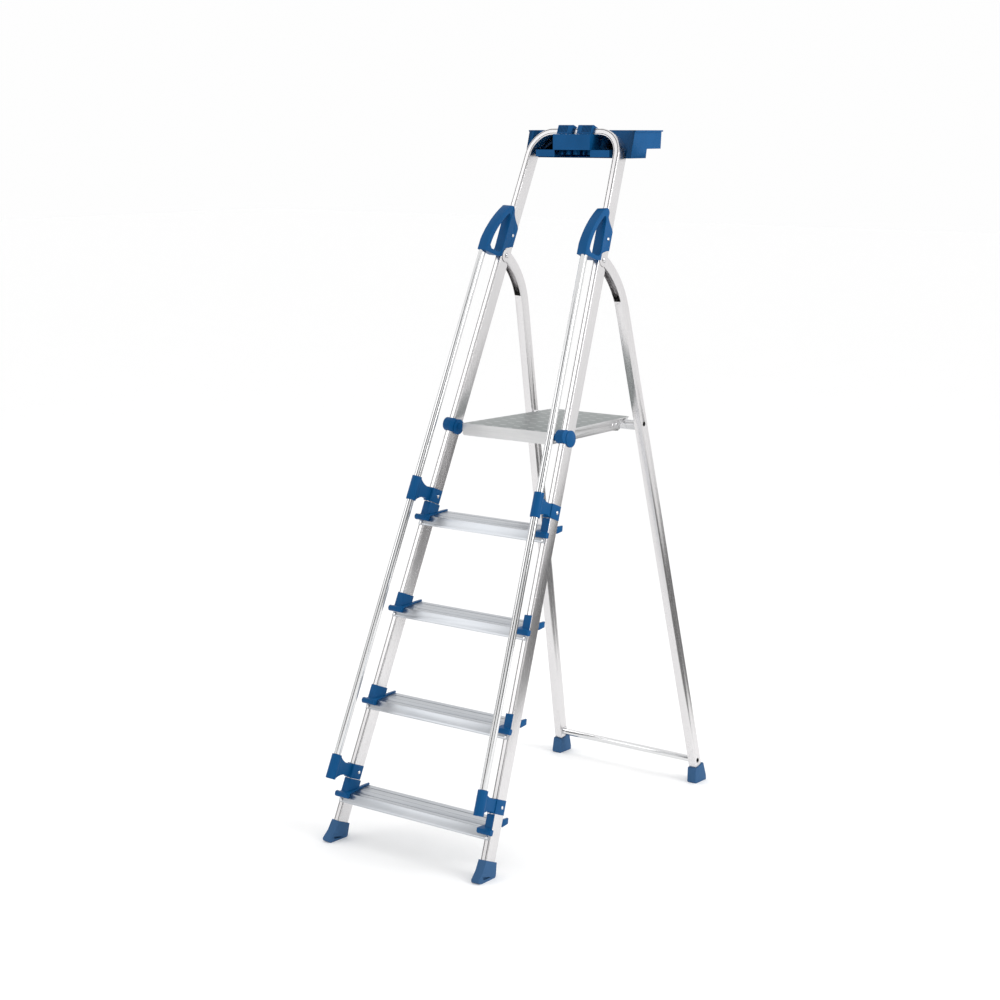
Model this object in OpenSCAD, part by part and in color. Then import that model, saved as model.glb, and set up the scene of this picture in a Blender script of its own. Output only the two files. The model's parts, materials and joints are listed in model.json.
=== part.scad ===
// Step ladder with a guard hoop, two handrails, a fold-up platform and a tool tray.
// X runs across the ladder, +Y from the treads to the rear legs, +Z up.
// The origin is on the floor, midway between the front toes and the rear heels.

/* [Overall] */
// Width across the two stiles at the floor
base_w = 528; // [440:4:640]
// Lean of the front frame back from vertical, degrees
front_lean = 22; // [21:0.5:23]
// Inward taper of each stile, degrees
stile_taper = 3.1; // [2.7:0.1:3.3]
// Lean of the rear legs forward from vertical, degrees
rear_lean = 12.4; // [11.6:0.2:13.4]
// Outward splay of the rear legs from their pivots, degrees
rear_splay = 3; // [2.6:0.1:3.3]
// Height of the first tread's top above the floor
first_tread_h = 126; // [110:2:180]
// Rise from one tread to the next
tread_rise = 240; // [200:2:290]
// Rise from the last tread to the platform
platform_rise = 246; // [200:2:296]
// Length of the guard hoop above the platform, along the stiles
guard_len = 858; // [780:2:1000]

/* [Front frame tube] */
// Width of the stile tube, across the ladder
stile_w = 19; // [17:0.5:24]
// Depth of the stile tube, front to back
stile_d = 40; // [36:1:48]
// Wall of the stile tube
stile_wall = 1.5; // [1.2:0.1:2.2]
// Distance of each groove from the edge of the front face
groove_edge = 2.5; // [2:0.1:3.5]
// Outer radius of the two bends of the hoop
hoop_r = 80; // [60:1:90]
// Width of the two grooves along the front face
groove_w = 1.6; // [1:0.1:2.4]
// Depth of the two grooves
groove_depth = 0.7; // [0.3:0.1:0.9]

/* [Handrails] */
// Diameter of a handrail
rail_d = 20; // [16:0.5:22]
// Wall of a handrail
rail_wall = 1.2; // [1:0.1:2]
// Clear gap between a handrail and its stile
rail_gap = 54.5; // [48:0.5:60]
// Distance of a handrail's centre inside the stile's outer face
rail_inset = 3.3; // [0:0.1:6]
// Wall of the sleeves that hold a handrail
sleeve_wall = 3.5; // [2.5:0.5:5]
// Length of those sleeves
sleeve_len = 66; // [50:1:80]
// Height of each saddle above its tread, along the stile
saddle_rise = 60; // [54:1:90]
// Length of the saddle on the stile
saddle_len = 38; // [30:1:44]
// Wall of the plastic that wraps the stile
wrap_wall = 3; // [2:0.5:5]

/* [Rear frame] */
// Depth of the rear leg tube
leg_d = 30; // [26:1:34]
// Wall of the rear leg tube
leg_wall = 1.2; // [1:0.1:1.4]
// Bend radius of the leg's top, on its centreline
leg_bend_r = 228; // [200:2:260]
// Direction of the leg at its pivot, degrees from vertical
leg_end_angle = 56; // [52:1:60]
// Radius of the rounded leg end round the pivot
leg_end_r = 19; // [16:0.5:20]
// Reach of the open front of the leg's forked top
fork_front = 138; // [110:2:150]
// Reach of the open back of the leg's forked top
fork_back = 48; // [42:2:60]
// Distance from the hoop's top to the leg pivot, along the stile
pivot_drop = 367; // [340:1:420]
// Diameter of the upper crossbar's round edge
bar_d = 16; // [14:0.5:18]
// Depth of the upper crossbar's web below its round edge
bar_web = 12; // [8:1:14]
// Diameter of the lower crossbar
stay_d = 19; // [16:0.5:20]
// Height of the lower crossbar
stay_h = 66; // [60:1:90]

/* [Treads] */
// Depth of a tread, front to back
tread_d = 88; // [80:1:92]
// Height of a tread's front skirt, along the stile
skirt_h = 27; // [22:1:34]
// Thickness of a tread's skin
tread_skin = 2; // [1.6:0.1:3]
// Height of the ribs below a tread's top
tread_rib = 14; // [8:1:18]
// Height of a tread bracket's collar above the tread
collar_h = 36.5; // [24:0.5:37]

/* [Platform] */
// Gap between the platform's side and the stile at the hinge
deck_gap = 28; // [26:1:34]
// Thickness of the platform sheet
deck_skin = 2; // [1.6:0.1:2.4]
// Height of the platform's front lip
lip_h = 33; // [28:1:36]
// Height of the platform's side flanges
flange_h = 30; // [26:1:34]
// Thickness of the two hook plates
hook_t = 3; // [2:0.5:4]
// Diameter of the hinge stub that the platform turns on
stub_d = 18; // [14:0.5:19]
// Diameter of the knob on the outside of each stile
knob_d = 45; // [40:1:48]

/* [Tool tray] */
// Gap between the tray's wings and the sides of the hoop
wing_gap = 4; // [3:0.5:8]
// Distance from the hoop's back face to the tray's rear edge
tray_reach = 113; // [100:1:140]
// Depth of the tray's front well below the rim
tray_depth = 75; // [64:1:84]
// Depth of the shallow rear shelf below the rim
shelf_depth = 50; // [40:1:60]
// Wall of the tray
tray_wall = 3; // [2:0.5:4]

/* [Fits] */
// Radial clearance of a turning fit
run_fit = 0.06; // [0.04:0.01:0.1]
// Gap between plastic and the metal it grips
grip_fit = 0.05; // [0.02:0.01:0.2]
// Gap between pieces that pass each other
part_gap = 0.4; // [0.3:0.1:0.6]

/* [Hidden] */
$fn = 64;
treads = 4;
fork_fit = 0.8;       // beside the stile, inside the fork of the leg
leg_w = stile_w + 2 * (leg_wall + fork_fit);
over = 1;             // how far a cutting shape runs past the face it cuts
platform_h = first_tread_h + (treads - 1) * tread_rise + platform_rise;
pivot_v = stile_d / 2 + 2;              // rivet line behind the stile's front face
rivet_d = 5;
rivet_head_d = 9;
rivet_head_t = 2;

// Side-plane coordinates: s along the front frame from the floor, v behind its front face
function y_at(v, s) = s * sin(front_lean) + v * cos(front_lean);
function z_at(v, s) = s * cos(front_lean) - v * sin(front_lean);
function s_at(v, z) = (z + v * sin(front_lean)) / cos(front_lean);
function y_of(v, z) = (v + z * sin(front_lean)) / cos(front_lean);
// t is measured on the stile itself, which tapers inwards
function t_of(s) = s / cos(stile_taper);
// Points of a quadratic curve from a to c that heads for b, without its last point
function arc3(a, b, c, n = 8) =
    [for (i = [0 : n - 1]) let (k = i / n) (1 - k) * (1 - k) * a + 2 * k * (1 - k) * b + k * k * c];

hoop_s = s_at(0, platform_h) + guard_len;
hoop_mid_s = hoop_s - hoop_r;
hoop_mid_x = (base_w / 2 * cos(stile_taper) - hoop_r - hoop_mid_s * sin(stile_taper)) / cos(stile_taper);
hoop_steps = 22;      // flats round each bend of the hoop

pivot_s = hoop_s - pivot_drop;
pivot_x = base_w / 2 - pivot_s * tan(stile_taper) - stile_w / 2 / cos(stile_taper);
pivot_y = y_at(pivot_v, pivot_s);
pivot_z = z_at(pivot_v, pivot_s);
pivot_d = 8;
pivot_head_d = 14;
pivot_head_t = 3;
fork_gap = 0.5;       // between the leg and the pivot's heads, for the leg's splay

bend_dy = leg_bend_r * (cos(rear_lean) - cos(leg_end_angle));
bend_dz = leg_bend_r * (sin(leg_end_angle) - sin(rear_lean));
leg_h = pivot_z / cos(rear_splay);
function leg_y(z) = pivot_y + bend_dy + ((pivot_z - z) / cos(rear_splay) - bend_dz) * tan(rear_lean);
function leg_x(z) = pivot_x + (pivot_z - z) * tan(rear_splay);

toe_out = 16;         // front toe ahead of the stile's front face at the floor
heel_out = 24;        // rear heel behind the leg's centreline at the floor
half_len = (leg_y(0) + heel_out + toe_out) / 2;
centre_y = half_len - toe_out;

stub_room = 1;        // between the hinge stub and the inside of the platform's lip
hinge_z = platform_h - deck_skin - stub_d / 2 - 2 * stub_room;
hinge_y = y_of(pivot_v, hinge_z);
hinge_s = s_at(pivot_v, hinge_z);
hinge_x = base_w / 2 - hinge_s * tan(stile_taper);
deck_y = hinge_y - stub_d / 2 - deck_skin - stub_room;
deck_half = hinge_x - stile_w - deck_gap;
bar_room = 3;         // between the upper crossbar and the underside of the platform
bar_z = platform_h - deck_skin - bar_d / 2 - bar_room;
bar_y = leg_y(bar_z);
deck_end = bar_y + 25;
flange_end = bar_y - 24;
function deck_x(y) = deck_half - (y - deck_y) * tan(stile_taper);

rail_v = -rail_gap - rail_d / 2;
sleeve_d = rail_d + 2 * sleeve_wall;
low_saddle_s = s_at(0, first_tread_h) + saddle_rise;
high_saddle_s = s_at(0, first_tread_h + (treads - 1) * tread_rise) + saddle_rise;
handle_s = pivot_s - 16;       // underside of the handle
rail_foot_t = t_of(low_saddle_s) - sleeve_len / 2;
rail_top_t = t_of(handle_s);
handle_rivet_s = pivot_s + 59;

foot_wall = 3;
foot_top = 58;                 // front foot's top, along the stile
stile_foot_t = 24;             // where the stile ends inside the foot
leg_foot_h = 12;               // where the leg ends inside its foot

rim_z = z_at(0, hoop_s) - 6;
tray_floor_z = rim_z - tray_depth;
tray_v = stile_d + 2;          // tray's front wall, just behind the hoop
tray_back = y_of(stile_d, rim_z) + tray_reach;
clip_v = stile_d + 8;
clip_s = hoop_s - 2;
clip_pin_d = 4;
block_top = z_at(-1, hoop_s - stile_w + 1);
block_back = z_at(tray_v, hoop_s) - 0.3;
wing_w = 19;
wing_x = base_w / 2 - hoop_mid_s * tan(stile_taper) + wing_gap;

/* Frames of reference */

module sided(side) {
    mirror([side < 0 ? 1 : 0, 0, 0]) translate([0, -centre_y, 0]) children();
}

module front_plane() {
    rotate([-front_lean, 0, 0]) children();
}

// x from the stile's outer face, y behind its front face, z along it
module on_stile(side) {
    sided(side) front_plane() translate([base_w / 2, 0, 0]) rotate([0, -stile_taper, 0]) children();
}

// x across the leg from its centre, y to the rear, z up, from the leg's pivot
module on_leg(side) {
    sided(side) translate([pivot_x, pivot_y, pivot_z]) rotate([0, -rear_splay, 0]) children();
}

// Extrudes a side view, drawn with y to the right and z up, across the ladder from x0 to x1
module across(x0, x1) {
    translate([x0, 0, 0]) rotate([90, 0, 90]) linear_extrude(x1 - x0) children();
}

module rod(x0, x1, d) {
    translate([x0, 0, 0]) rotate([0, 90, 0]) cylinder(d = d, h = x1 - x0);
}

/* Front frame */

// Outline of the hoop and both stiles in the front plane, moved in from the outer face by inset
function hoop_path(inset, t0) = let (
    r = hoop_r - inset,
    right = concat(
        [[base_w / 2 - inset * cos(stile_taper) - t0 * sin(stile_taper),
            t0 * cos(stile_taper) - inset * sin(stile_taper)]],
        [for (i = [0 : hoop_steps]) let (a = stile_taper + i * (90 - stile_taper) / hoop_steps)
            [hoop_mid_x + r * cos(a), hoop_mid_s + r * sin(a)]]),
    last = len(right) - 1)
    concat(right, [for (i = [last : -1 : 0]) [-right[i][0], right[i][1]]]);

// The bent strip between two insets, from v0 to v1 through the frame's depth
module hoop_strip(inset0, inset1, v0, v1, t0) {
    inner = hoop_path(inset1, t0);
    last = len(inner) - 1;
    translate([0, v1, 0]) rotate([90, 0, 0]) linear_extrude(v1 - v0)
        polygon(concat(hoop_path(inset0, t0), [for (i = [last : -1 : 0]) inner[i]]));
}

module rivet_bores() {
    for (side = [-1, 1]) {
        on_stile(side) {
            for (s = [low_saddle_s, high_saddle_s, handle_rivet_s])
                translate([0, pivot_v, t_of(s)])
                    rod(-stile_w - wrap_wall - over, wrap_wall + over, rivet_d);
            for (k = [0 : treads - 1])
                tread_rivet_place(k) rotate([-90, 0, 0])
                    translate([0, 0, -over]) cylinder(d = rivet_d, h = 8);
        }
    }
}

module tread_rivet_place(k) {
    translate([-stile_w / 2, -3, t_of(s_at(0, first_tread_h + k * tread_rise) - 21)]) children();
}

module pivot_bores(fit) {
    for (side = [-1, 1])
        sided(side) {
            translate([0, pivot_y, pivot_z])
                rod(pivot_x - leg_w, pivot_x + leg_w, pivot_d + 2 * fit);
            translate([0, hinge_y, hinge_z])
                rod(hinge_x - stile_w - 2, hinge_x + 2, pivot_d + 2 * fit);
        }
}

module front_tube() {
    color("lightgray") difference() {
        translate([0, -centre_y, 0]) front_plane() difference() {
            hoop_strip(0, stile_w, 0, stile_d, stile_foot_t);
            hoop_strip(stile_wall, stile_w - stile_wall, stile_wall, stile_d - stile_wall, stile_foot_t - over);
            for (edge = [groove_edge, stile_w - groove_edge - groove_w])
                hoop_strip(edge, edge + groove_w, -over, groove_depth, stile_foot_t - over);
        }
        rivet_bores();
        pivot_bores(0);
    }
}

// Space of the stile itself, for pieces that grip it
module stile_space(fit) {
    translate([-stile_w - fit, -fit, 0]) cube([stile_w + 2 * fit, stile_d + 2 * fit, hoop_s]);
}

/* Handrails, their brackets and the handles */

module on_rail(side) {
    on_stile(side) translate([-rail_inset, rail_v, 0]) children();
}

module handrail(side) {
    color("gainsboro") on_rail(side) difference() {
        translate([0, 0, rail_foot_t]) cylinder(d = rail_d, h = rail_top_t - rail_foot_t);
        translate([0, 0, rail_foot_t - over])
            cylinder(d = rail_d - 2 * rail_wall, h = rail_top_t - rail_foot_t + 2 * over);
    }
}

// Side view of the neck between a sleeve and its saddle, waisted above and below
module neck_outline() {
    half = saddle_len / 2;
    reach = sleeve_len / 2 - 2;
    polygon(concat(
        arc3([rail_v + 6, reach], [rail_v / 2 - 2, half / 2], [0, half]),
        [[0, half]],
        arc3([0, -half], [rail_v / 2 - 2, -half / 3], [rail_v + 6, -reach]),
        [[rail_v + 6, -reach]]));
}

module rail_bracket(side, s) {
    neck_w = 15;
    color("royalblue") difference() {
        union() {
            on_rail(side) translate([0, 0, t_of(s) - sleeve_len / 2])
                cylinder(d = sleeve_d, h = sleeve_len);
            on_stile(side) translate([0, 0, t_of(s)]) {
                across(-rail_inset - neck_w + 4, -rail_inset + 4) neck_outline();
                translate([-stile_w - wrap_wall, -5, -saddle_len / 2])
                    cube([stile_w + 2 * wrap_wall, stile_d, saddle_len]);
            }
        }
        on_rail(side) translate([0, 0, t_of(s) - sleeve_len])
            cylinder(d = rail_d + 2 * grip_fit, h = 2 * sleeve_len);
        on_stile(side) stile_space(grip_fit);
        rivet_bores();
    }
}

// The handle's outline in side view: y is v and z is measured from the handle's underside
function handle_outline() = concat(
    [[rail_v - rail_d / 2, 0]],
    arc3([rail_v - rail_d / 2, 30], [-64, 92], [-22, 146]),
    arc3([-22, 146], [-4, 160], [4, 132]),
    arc3([4, 132], [16, 116], [35, 104]),
    [[36, 100], [36, 46]],
    arc3([36, 46], [10, 40], [1, 13]),
    [[0, 8], [-20, 2]]);

module handle_opening() {
    polygon(concat(
        arc3([-59, 20], [-58, 72], [-19, 126]),
        arc3([-19, 126], [-11, 132], [-7, 112]),
        [[-5, 30]],
        arc3([-5, 30], [-6, 18], [-20, 14]),
        [[-20, 14], [-50, 13]]));
}

module handle(side) {
    guard_x0 = -21;
    guard_x1 = 7;
    spigot_len = 16;
    color("royalblue") difference() {
        on_stile(side) {
            translate([0, 0, rail_top_t]) {
                across(guard_x0, guard_x1) difference() {
                    intersection() {
                        polygon(handle_outline());
                        translate([-90, -10]) square([90, 180]);
                    }
                    handle_opening();
                }
                across(-stile_w - wrap_wall, wrap_wall) intersection() {
                    polygon(handle_outline());
                    translate([-6, -10]) square([60, 180]);
                }
            }
            translate([-rail_inset, rail_v, rail_top_t - spigot_len])
                cylinder(d = rail_d - 2 * rail_wall - 2 * grip_fit, h = spigot_len + over);
        }
        on_stile(side) stile_space(grip_fit);
        sided(side) translate([0, pivot_y, pivot_z])
            rod(pivot_x - leg_w, pivot_x + leg_w, 2 * (leg_end_r + 2));
        rivet_bores();
    }
}

/* Treads */

function tread_z(k) = first_tread_h + k * tread_rise;

// Section of a tread, y from the stile's front face, z from the tread's top
module tread_outline() {
    nose = 3;
    lean = tan(front_lean);
    fall = skirt_h * cos(front_lean);
    back = tread_d - nose;
    polygon(concat(
        [[-nose, 0], [back, 0], [back, -10], [back - tread_skin, -10], [back - tread_skin, -tread_skin]],
        [for (y = [3, 2, 1] * tread_d / 4, p = [[tread_skin, -tread_skin], [tread_skin, -tread_rib],
            [0, -tread_rib], [0, -tread_skin]]) [y + p[0], p[1]]],
        [[0, -tread_skin], [-(fall - tread_skin) * lean, -fall], [-nose - fall * lean, -fall]]));
}

module tread(k) {
    color("silver") difference() {
        translate([0, stile_y(tread_z(k)) - centre_y, tread_z(k)])
            across(-base_w / 2, base_w / 2) difference() {
                tread_outline();
                for (y = [16, 66]) translate([y - 1, -0.8]) square([2, 2]);
            }
        for (side = [-1, 1])
            on_stile(side) {
                translate([-stile_w - part_gap, -grip_fit, 0]) cube([base_w, 3 * stile_d, hoop_s]);
                translate([-2, -stile_d, 0]) cube([base_w, 3 * stile_d, hoop_s]);
            }
        rivet_bores();
    }
}

function stile_y(z) = z * tan(front_lean);

// Plastic bracket that caps the tread's end and wraps the stile above it
module tread_bracket(side, k) {
    z0 = tread_z(k);
    t0 = t_of(s_at(0, z0));
    plate_t = 4;
    plate_in = 16;
    nose_r = 8;
    inner_x = base_w / 2 - s_at(0, z0) * tan(stile_taper) - stile_w;
    tab_out = 3;
    color("royalblue") difference() {
        union() {
            difference() {
                union() {
                    on_stile(side) translate([-stile_w - wrap_wall, -wrap_wall, t0 - stile_d])
                        cube([stile_w + wrap_wall, stile_d + wrap_wall, stile_d + collar_h / cos(front_lean)]);
                    sided(side) translate([inner_x, stile_y(z0), z0]) linear_extrude(plate_t)
                        polygon([[stile_w - 2, -18], [-plate_in, -18], [-plate_in, 8], [-7, 50], [-2, 90],
                            [2, 90], [2, 44], [stile_w - 2, 0]]);
                }
                translate([-base_w, -centre_y - base_w, z0 - 2 * stile_d]) cube([2 * base_w, 4 * base_w, 2 * stile_d]);
            }
            difference() {
                sided(side) translate([inner_x, stile_y(z0) - 3 - nose_r, z0 + plate_t - nose_r])
                    rod(-plate_in, stile_w + 8, 2 * nose_r);
                on_stile(side) translate([-2 * base_w, -3 - grip_fit, 0]) cube([3 * base_w, stile_d, hoop_s]);
            }
            difference() {
                sided(side) translate([inner_x, stile_y(z0), z0]) union() {
                    across(-over, tab_out) polygon([[62, plate_t], [90, plate_t], [88, -11], [64, -14]]);
                    translate([-over, 42, -12]) cube([tab_out + 5, 4, 30]);
                }
                on_stile(side) translate([-2 * base_w, -stile_d, 0])
                    cube([2 * base_w - stile_w, 4 * stile_d, hoop_s]);
            }
        }
        on_stile(side) stile_space(grip_fit);
    }
}

/* Feet */

module front_foot(side) {
    rear_y = 52;
    slot_in = 7;      // depth of the recess in each side
    color("steelblue") intersection() {
        difference() {
            on_stile(side) rotate([front_lean, 0, 0])
                across(-stile_w - foot_wall, foot_wall)
                    polygon([[-toe_out - 2, 9], [-toe_out + 3, 2], [-3, 0], [-3, -9], [rear_y, -9], [rear_y, 0],
                        [rear_y + 4, 6], [y_at(stile_d + 3, foot_top), z_at(stile_d + 3, foot_top)],
                        [y_at(-3, foot_top), z_at(-3, foot_top)], [y_at(-8, 28), z_at(-8, 28)]]);
            on_stile(side) translate([0, 0, stile_foot_t]) stile_space(grip_fit);
            for (x = [-stile_w - foot_wall - over, foot_wall - slot_in])
                on_stile(side) rotate([front_lean, 0, 0]) across(x, x + slot_in + over)
                    polygon([[1, 16], [38, 6], [4, 7]]);
        }
        floor_space();
    }
}

module rear_foot(side) {
    color("steelblue") intersection() {
        difference() {
            on_leg(side) translate([0, bend_dy + (leg_h - bend_dz) * tan(rear_lean), -leg_h])
                across(-leg_w / 2 - foot_wall, leg_w / 2 + foot_wall)
                    polygon([[-34, 4], [-24, -9], [heel_out - 6, -9], [heel_out + 2, 6], [12, 53], [-29, 44]]);
            on_leg(side) leg_shape(leg_w + 2 * grip_fit, -grip_fit);
        }
        floor_space();
    }
}

// The space above the floor between the front toes and the rear heels
module floor_space() {
    translate([-base_w, -half_len, 0]) cube([2 * base_w, 2 * half_len, 3 * foot_top]);
}

/* Rear frame */

// Side view of a leg from its pivot down, drawn inset by the given amount
module leg_side(inset, top = true) {
    half = leg_d / 2 - inset;
    run = (leg_h - bend_dz - leg_foot_h) / cos(rear_lean);
    mid = [bend_dy - leg_bend_r * cos(rear_lean), -bend_dz - leg_bend_r * sin(rear_lean)];
    far = 2 * leg_bend_r;
    mean = (rear_lean + leg_end_angle) / 2;
    translate([bend_dy, -bend_dz]) rotate(rear_lean) translate([-half, -run - (inset > 0 ? over : 0)])
        square([2 * half, run + (inset > 0 ? over : 0) + 0.01]);
    translate(mid) intersection() {
        difference() {
            circle(r = leg_bend_r + half, $fn = 180);
            circle(r = leg_bend_r - half, $fn = 180);
        }
        polygon([[0, 0], far * [cos(rear_lean), sin(rear_lean)], far * [cos(mean), sin(mean)],
            far * [cos(leg_end_angle), sin(leg_end_angle)]]);
    }
    if (top) circle(r = leg_end_r);
}

module leg_shape(w, inset) {
    across(-w / 2, w / 2) leg_side(inset);
}

// What is cut from a leg: its bore, and the front and back of its forked top
module leg_hollow() {
    mid = [bend_dy - leg_bend_r * cos(rear_lean), -bend_dz - leg_bend_r * sin(rear_lean)];
    across(leg_wall - leg_w / 2, leg_w / 2 - leg_wall) {
        leg_side(leg_wall, false);
        circle(r = fork_back);
        intersection() {
            circle(r = fork_front);
            translate(mid) circle(r = leg_bend_r + leg_d / 2 - leg_wall, $fn = 180);
        }
    }
}

module rear_leg(side) {
    bolt_head = 13;
    color("gainsboro") difference() {
        on_leg(side) difference() {
            leg_shape(leg_w, 0);
            leg_hollow();
        }
        pivot_bores(run_fit);
        for (bar = [[leg_y(bar_z), bar_z], [leg_y(stay_h), stay_h]])
            sided(side) translate([leg_x(bar[1]), bar[0], bar[1]]) {
                rod(0, leg_w, bolt_head);
                rod(-leg_w, over, bolt_d + 2 * grip_fit);
            }
    }
}

bolt_d = 6;
bolt_len = 24;

// Planes just inside both legs, for what runs between them
module between_legs(gap) {
    difference() {
        children();
        for (side = [-1, 1])
            on_leg(side) translate([-leg_w / 2 - gap, -base_w, -2 * leg_h]) cube([base_w, 4 * base_w, 4 * leg_h]);
    }
}

module upper_crossbar() {
    color("silver") between_legs(0.02) difference() {
        translate([0, bar_y - centre_y, bar_z]) across(-base_w / 2, base_w / 2) {
            circle(d = bar_d);
            translate([-1.5, -bar_d / 2 - bar_web + 1]) square([3, bar_web + 1]);
        }
        bolt_holes();
    }
}

module bolt_holes() {
    for (side = [-1, 1], z = [bar_z, stay_h])
        sided(side) translate([leg_x(z), leg_y(z), z]) rod(-leg_w / 2 - bolt_len, over, bolt_d);
}

module lower_crossbar() {
    color("silver") between_legs(washer_t + 0.02) difference() {
        translate([0, leg_y(stay_h) - centre_y, stay_h]) rod(-base_w / 2, base_w / 2, stay_d);
        bolt_holes();
    }
}

washer_t = 1.6;

module crossbar_washers() {
    size = stay_d + 5;
    color("silver") for (side = [-1, 1])
        difference() {
            on_leg(side) translate([-leg_w / 2 - washer_t, leg_y(stay_h) - pivot_y - size / 2,
                -(pivot_z - stay_h) / cos(rear_splay) - size / 2]) cube([washer_t, size, size]);
            bolt_holes();
        }
}

module crossbar_bolts() {
    head_t = 5;
    color("dimgray") for (side = [-1, 1], z = [bar_z, stay_h])
        sided(side) translate([leg_x(z), leg_y(z), z]) {
            seat = leg_wall + 0.8 - leg_w / 2;
            rod(1 - leg_w / 2 - bolt_len, seat + 1, bolt_d - 0.02);
            difference() {
                rod(seat, seat + head_t, 11);
                rod(seat + 2, seat + head_t + over, 5.5);
            }
        }
}

/* Fasteners of the front frame */

module leg_pivots() {
    reach = leg_w / 2 / cos(rear_splay) + fork_gap;
    color("silver") for (side = [-1, 1])
        sided(side) translate([pivot_x, pivot_y, pivot_z]) {
            rod(-reach - 1, reach + 1, pivot_d);
            for (end = [0, 1]) mirror([end, 0, 0]) translate([reach, 0, 0]) rotate([0, 90, 0]) {
                cylinder(d = pivot_head_d, h = 1);
                translate([0, 0, 1]) cylinder(d1 = pivot_head_d, d2 = pivot_d, h = pivot_head_t - 1);
            }
        }
}

module rivet_head() {
    cylinder(d = rivet_head_d, h = rivet_head_t / 2);
    translate([0, 0, rivet_head_t / 2]) cylinder(d1 = rivet_head_d, d2 = rivet_d, h = rivet_head_t / 2);
}

module tread_rivets() {
    color("silver") for (side = [-1, 1], k = [0 : treads - 1])
        on_stile(side) tread_rivet_place(k) {
            rotate([-90, 0, 0]) cylinder(d = rivet_d, h = 6);
            rotate([90, 0, 0]) rivet_head();
        }
}

module wrap_rivets() {
    color("silver") for (side = [-1, 1], s = [low_saddle_s, high_saddle_s, handle_rivet_s])
        on_stile(side) translate([0, pivot_v, t_of(s)]) {
            rod(-stile_w - wrap_wall, wrap_wall, rivet_d);
            translate([wrap_wall, 0, 0]) rotate([0, 90, 0]) rivet_head();
            translate([-stile_w - wrap_wall, 0, 0]) rotate([0, -90, 0]) rivet_head();
        }
}

/* Platform and its hinge knobs */

screw_d = 4;          // bore in the end of each hinge stub
stub_end = deck_x(hinge_y) - deck_skin - 6;

module platform_knob(side) {
    disc_t = 6;
    wrap_r = 18.5;
    color("royalblue") difference() {
        union() {
            on_stile(side) translate([0, pivot_v, t_of(hinge_s)]) {
                rod(0, disc_t / 2, knob_d);
                translate([disc_t / 2, 0, 0]) rotate([0, 90, 0])
                    cylinder(d1 = knob_d, d2 = knob_d - 12, h = disc_t / 2);
                rod(-stile_w - disc_t, -stile_w, knob_d - 3);
                translate([0, -pivot_v + 1, 0]) rod(-stile_w - disc_t / 2, disc_t / 4, 2 * wrap_r);
            }
            sided(side) translate([0, hinge_y, hinge_z]) rod(stub_end, hinge_x - stile_w - 2, stub_d);
            sided(side) translate([0, hinge_y, hinge_z]) rod(hinge_x - stile_w - 2, hinge_x + 1, pivot_d);
        }
        difference() {
            on_stile(side) stile_space(grip_fit);
            sided(side) translate([0, hinge_y, hinge_z]) rod(hinge_x - stile_w - 4, hinge_x + 4, pivot_d - 0.02);
        }
        sided(side) translate([0, hinge_y, hinge_z]) rod(stub_end - over, stub_end + 5, screw_d);
    }
}

module platform_retainers() {
    color("dimgray") for (side = [-1, 1])
        sided(side) translate([stub_end, hinge_y, hinge_z]) {
            rod(-2, -0.01, stub_d + stub_room + 0.2);
            rod(-1, 4.5, screw_d - 2 * run_fit);
        }
}

// Plan of the platform from y0 to y1, its sides moved in by inset
module deck_plan(inset, y0, y1) {
    polygon([[deck_x(y0) - inset, y0], [deck_x(y1) - inset, y1],
        [inset - deck_x(y1), y1], [inset - deck_x(y0), y0]]);
}

module platform_deck() {
    color("darkgray") translate([0, -centre_y, 0]) difference() {
        union() {
            translate([0, 0, platform_h - deck_skin]) linear_extrude(deck_skin) deck_plan(0, deck_y, deck_end);
            translate([0, 0, platform_h - flange_h]) linear_extrude(flange_h)
                deck_plan(0, deck_y, flange_end);
            translate([0, 0, platform_h - lip_h]) linear_extrude(lip_h)
                deck_plan(3, deck_y, deck_y + 2 * deck_skin);
        }
        translate([0, 0, platform_h - 2 * lip_h]) linear_extrude(2 * lip_h - deck_skin)
            deck_plan(deck_skin, deck_y + deck_skin, flange_end + 1);
        translate([0, hinge_y, hinge_z]) rod(-base_w, base_w, stub_d + 2 * run_fit);
        hook_rivet_bores();
    }
}

// Side view of a hook plate, from the crossbar's centre
module hook_outline() {
    top = platform_h - deck_skin - 0.02 - bar_z;
    r = bar_d / 2 + part_gap;
    flare = 70;
    difference() {
        polygon([[-70, top], [22, top], [22, -14], [-26, -22], [-58, -18], [-70, -12]]);
        circle(r = r);
        polygon([[r, 0], [r, -flare], [-flare, -flare], [-r * cos(30), r * sin(30)]]);
    }
}

module hook_rivet_bores() {
    for (y = [bar_y - 62, bar_y - 44]) translate([0, y, platform_h - 14]) rod(-base_w, base_w, rivet_d);
}

module on_flange(side) {
    sided(side) translate([deck_x(bar_y) - deck_skin, bar_y, bar_z]) rotate([0, 0, stile_taper]) children();
}

module platform_hook(side) {
    color("silver") difference() {
        on_flange(side) across(-hook_t - 0.02, -0.02) hook_outline();
        translate([0, -centre_y, 0]) hook_rivet_bores();
    }
}

module platform_rivets() {
    color("silver") for (side = [-1, 1], y = [bar_y - 62, bar_y - 44])
        sided(side) translate([deck_x(y), y, platform_h - 14]) {
            rod(-deck_skin - hook_t - 1.2, 0.6, rivet_d);
            translate([0.4, 0, 0]) rotate([0, 90, 0]) rivet_head();
            translate([-deck_skin - hook_t - 0.6, 0, 0]) rotate([0, -90, 0]) rivet_head();
        }
}

/* Tool tray */

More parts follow.
